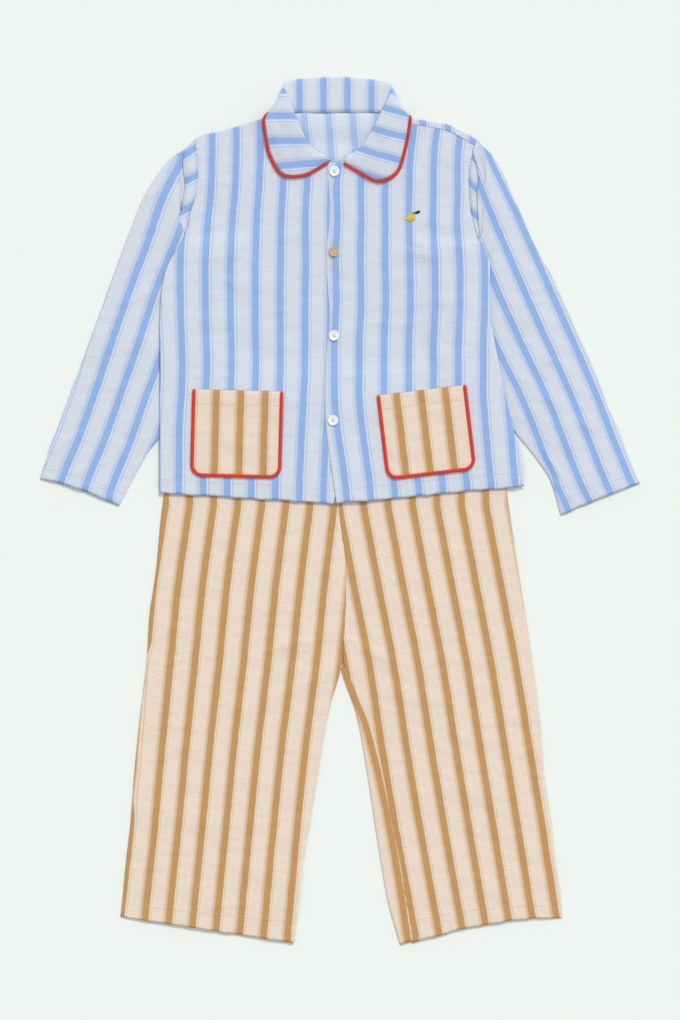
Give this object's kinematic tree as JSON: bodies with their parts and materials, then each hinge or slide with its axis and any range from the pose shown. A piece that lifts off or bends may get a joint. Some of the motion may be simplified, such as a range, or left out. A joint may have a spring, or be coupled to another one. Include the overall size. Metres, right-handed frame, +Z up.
{
  "type": "pyjama set",
  "caption": "Child's pyjama set laid flat: a long-sleeved striped jacket with piped collar and patch pockets, buttoned down the front, over wide striped trousers.",
  "frame": {"origin": "middle of the set's outline, on the surface that it lies on", "axes": "+X towards the wearer's left, +Y from the trouser hems to the collar, +Z up off the surface"},
  "size_m": [0.7506, 1.0884, 0.0109],
  "materials": {
    "jacket_cloth": "light crinkled cotton, blue stripes on pale blue",
    "trouser_cloth": "light crinkled cotton, tan stripes on cream",
    "red_piping": "red cotton piping",
    "white_button": "satin",
    "wooden_button": "satin"
  },
  "bodies": {
    "root": {"jacket_back": "jacket_cloth", "jacket_front_right": "jacket_cloth", "jacket_front_left": "jacket_cloth", "sleeve_right": "jacket_cloth", "sleeve_left": "jacket_cloth", "collar": "jacket_cloth", "collar_piping": "red_piping", "pocket_right": "trouser_cloth", "pocket_left": "trouser_cloth", "pocket_piping_right": "red_piping", "pocket_piping_left": "red_piping", "button_1": "white_button", "button_2": "wooden_button", "button_3": "white_button", "button_4": "white_button", "trousers_front_right": "trouser_cloth", "trousers_front_left": "trouser_cloth", "trousers_back_right": "trouser_cloth", "trousers_back_left": "trouser_cloth", "waistband": "trouser_cloth"}
  },
  "joints": []
}
